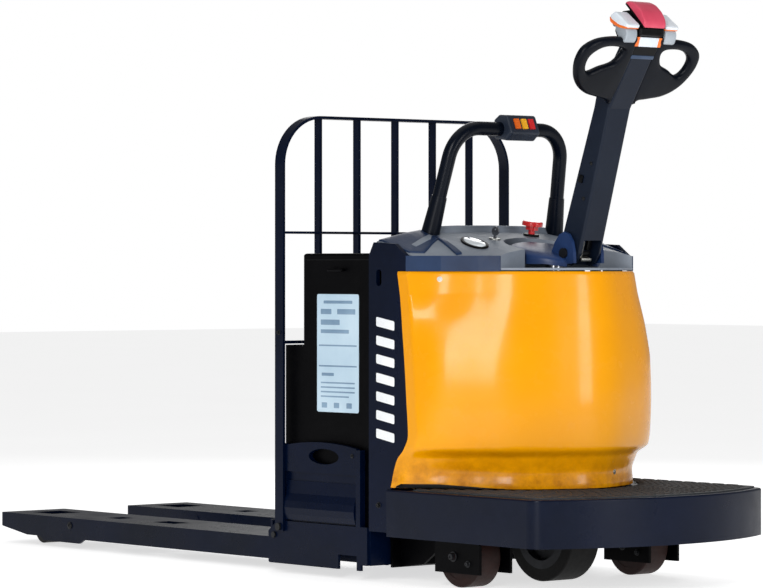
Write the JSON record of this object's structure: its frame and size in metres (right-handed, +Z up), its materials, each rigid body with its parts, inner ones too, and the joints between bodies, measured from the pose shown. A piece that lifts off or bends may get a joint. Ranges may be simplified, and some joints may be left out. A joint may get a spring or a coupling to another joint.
{
  "type": "electric pallet truck",
  "caption": "Rider electric pallet truck: two low forks with load wheels, battery compartment, load backrest, bulged motor cover, tiller with loop grips and an operator platform.",
  "frame": {"origin": "on the floor, below the middle of the truck's bounding box", "axes": "+X toward the operator platform, -X toward the fork tips, +Z up, +Y completes the right-handed frame"},
  "size_m": [2.522, 0.822, 1.486],
  "materials": {
    "black_paint": "satin black",
    "black_plastic": "satin black",
    "bright_steel": "ground",
    "cast_alloy": "finned heat sink",
    "cast_iron": "as cast, painted",
    "caster_tread": "poured urethane",
    "cell_plastic": "plain",
    "charcoal_paint": "satin charcoal",
    "drive_tread": "moulded tread",
    "gauge_glass": "clear lens over white",
    "grey_plastic": "textured grey",
    "load_tread": "poured urethane",
    "mat_rubber": "ribbed",
    "navy_paint": "satin navy powder coat",
    "navy_plastic": "satin navy",
    "pad_red": "soft red",
    "red_plastic": "gloss red",
    "white_nylon": "plain",
    "white_plastic": "satin white",
    "yellow_button": "gloss amber",
    "yellow_cover": "gloss yellow",
    "zinc_steel": "zinc plated"
  },
  "bodies": {
    "chassis": {"caster_bearings": "bright_steel", "charge_gauge": "gauge_glass", "chassis_frame": "black_paint", "console_fascia": "navy_plastic", "console_top": "grey_plastic", "control_pod": "grey_plastic", "grab_bar": "navy_paint", "guide_rails": "black_paint", "key_lock": "zinc_steel", "lift_cylinder": "black_paint", "motor_controller": "cast_alloy", "motor_cover": "yellow_cover", "oil_tank": "cell_plastic", "platform_deck": "navy_paint", "platform_mat": "mat_rubber", "pump_motor": "zinc_steel", "side_panel_left": "navy_paint", "side_panel_right": "navy_paint", "slew_ring_outer": "bright_steel", "stop_collar": "black_plastic"},
    "steering": {"slew_ring_inner": "bright_steel", "drive_gearbox": "cast_iron", "drive_motor": "black_paint", "parking_brake": "black_paint", "steer_column": "bright_steel", "steer_hub": "navy_plastic", "tiller_pin": "zinc_steel"},
    "drive_wheel": {"drive_hub": "cast_iron", "drive_tyre": "drive_tread"},
    "tiller": {"tiller_arm": "charcoal_paint", "tiller_head": "black_plastic", "handle_loops": "navy_plastic"},
    "throttle": {"throttle_levers": "white_plastic"},
    "belly_button": {"reverse_button": "pad_red"},
    "caster_left": {"caster_yoke_left": "black_paint"},
    "caster_right": {"caster_yoke_right": "black_paint"},
    "caster_wheel_l": {"caster_wheel_left": "caster_tread"},
    "caster_wheel_r": {"caster_wheel_right": "caster_tread"},
    "carriage": {"carriage_frame": "navy_paint", "fork_left": "navy_paint", "fork_right": "navy_paint", "guide_shoes": "white_nylon", "lift_ram": "bright_steel", "battery_case": "black_paint", "battery_cells": "cell_plastic", "load_backrest": "navy_paint", "carriage_bolts": "zinc_steel"},
    "gate_left": {"battery_gate_left": "navy_paint"},
    "gate_right": {"battery_gate_right": "navy_paint"},
    "arm_left": {"load_arm_left": "black_paint"},
    "arm_right": {"load_arm_right": "black_paint"},
    "load_roller_left": {"load_wheel_left": "load_tread"},
    "load_roller_right": {"load_wheel_right": "load_tread"},
    "rod_left": {"pull_rod_left": "black_paint"},
    "rod_right": {"pull_rod_right": "black_paint"},
    "key": {"key": "bright_steel"},
    "stop_button": {"stop_button": "red_plastic"},
    "button_lower": {"lower_button": "red_plastic"},
    "button_horn": {"horn_button": "yellow_button"},
    "button_lift": {"lift_button": "red_plastic"}
  },
  "joints": [
    {"name": "steer", "type": "hinge", "parent": "chassis", "child": "steering", "pos_m": [0.788, 0, 0.24], "axis": [0, 0, 1], "range_deg": [-50, 50]},
    {"name": "drive_wheel_spin", "type": "hinge", "parent": "steering", "child": "drive_wheel", "pos_m": [0.788, 0, 0.12], "axis": [0, 1, 0], "continuous": true},
    {"name": "tiller_tilt", "type": "hinge", "parent": "steering", "child": "tiller", "pos_m": [0.883, 0, 0.85], "axis": [0, 1, 0], "range_deg": [0, 62], "stiffness_Nm_per_rad": 60, "springref_deg": -34.38},
    {"name": "throttle_turn", "type": "hinge", "parent": "tiller", "child": "throttle", "pos_m": [1.107, 0, 1.428], "axis": [0, 1, 0], "range_deg": [-12, 12], "stiffness_Nm_per_rad": 1.5},
    {"name": "reverse_press", "type": "slide", "parent": "tiller", "child": "belly_button", "axis": [-0.7071, 0, -0.7071], "range_m": [0, 0.003], "stiffness_N_per_m": 3000, "springref_m": -0.002},
    {"name": "caster_left_swivel", "type": "hinge", "parent": "chassis", "child": "caster_left", "pos_m": [0.806, -0.297, 0.195], "axis": [0, 0, 1], "continuous": true},
    {"name": "caster_left_roll", "type": "hinge", "parent": "caster_left", "child": "caster_wheel_l", "pos_m": [0.792, -0.297, 0.08], "axis": [0, 1, 0], "continuous": true},
    {"name": "caster_right_swivel", "type": "hinge", "parent": "chassis", "child": "caster_right", "pos_m": [0.806, 0.297, 0.195], "axis": [0, 0, 1], "continuous": true},
    {"name": "caster_right_roll", "type": "hinge", "parent": "caster_right", "child": "caster_wheel_r", "pos_m": [0.792, 0.297, 0.08], "axis": [0, 1, 0], "continuous": true},
    {"name": "fork_lift", "type": "slide", "parent": "chassis", "child": "carriage", "axis": [0, 0, 1], "range_m": [0, 0.12]},
    {"name": "gate_left_lift", "type": "slide", "parent": "carriage", "child": "gate_left", "axis": [0, 0, 1], "range_m": [0, 0.2]},
    {"name": "load_arm_left_swing", "type": "hinge", "parent": "carriage", "child": "arm_left", "pos_m": [-0.902, -0.23, 0.066], "axis": [0, -1, 0], "range_deg": [0, 32.8]},
    {"name": "load_roller_left_spin", "type": "hinge", "parent": "arm_left", "child": "load_roller_left", "pos_m": [-1.131, -0.23, 0.041], "axis": [0, 1, 0], "continuous": true},
    {"name": "pull_rod_left_slide", "type": "slide", "parent": "carriage", "child": "rod_left", "axis": [1, 0, 0], "range_m": [0, 0.01634]},
    {"name": "gate_right_lift", "type": "slide", "parent": "carriage", "child": "gate_right", "axis": [0, 0, 1], "range_m": [0, 0.2]},
    {"name": "load_arm_right_swing", "type": "hinge", "parent": "carriage", "child": "arm_right", "pos_m": [-0.902, 0.23, 0.066], "axis": [0, -1, 0], "range_deg": [0, 32.8]},
    {"name": "load_roller_right_spin", "type": "hinge", "parent": "arm_right", "child": "load_roller_right", "pos_m": [-1.131, 0.23, 0.041], "axis": [0, 1, 0], "continuous": true},
    {"name": "pull_rod_right_slide", "type": "slide", "parent": "carriage", "child": "rod_right", "axis": [1, 0, 0], "range_m": [0, 0.01634]},
    {"name": "key_turn", "type": "hinge", "parent": "chassis", "child": "key", "pos_m": [0.672, -0.105, 0.88589], "axis": [0.1649, 0, 0.9863], "range_deg": [0, 90]},
    {"name": "stop_press", "type": "slide", "parent": "chassis", "child": "stop_button", "axis": [-0.1622, 0, -0.9868], "range_m": [0, 0.006]},
    {"name": "lower_press", "type": "slide", "parent": "chassis", "child": "button_lower", "axis": [-0.9231, 0, -0.3846], "range_m": [0, 0.002], "stiffness_N_per_m": 500},
    {"name": "horn_press", "type": "slide", "parent": "chassis", "child": "button_horn", "axis": [-0.9231, 0, -0.3846], "range_m": [0, 0.002], "stiffness_N_per_m": 500},
    {"name": "lift_press", "type": "slide", "parent": "chassis", "child": "button_lift", "axis": [-0.9231, 0, -0.3846], "range_m": [0, 0.002], "stiffness_N_per_m": 500}
  ],
  "couplings": [
    {"joint": "load_arm_left_swing", "follows": "fork_lift", "rad_per_m": 4.7675},
    {"joint": "pull_rod_left_slide", "follows": "fork_lift", "ratio": 0.13535},
    {"joint": "load_arm_right_swing", "follows": "fork_lift", "rad_per_m": 4.7675},
    {"joint": "pull_rod_right_slide", "follows": "fork_lift", "ratio": 0.13535}
  ]
}
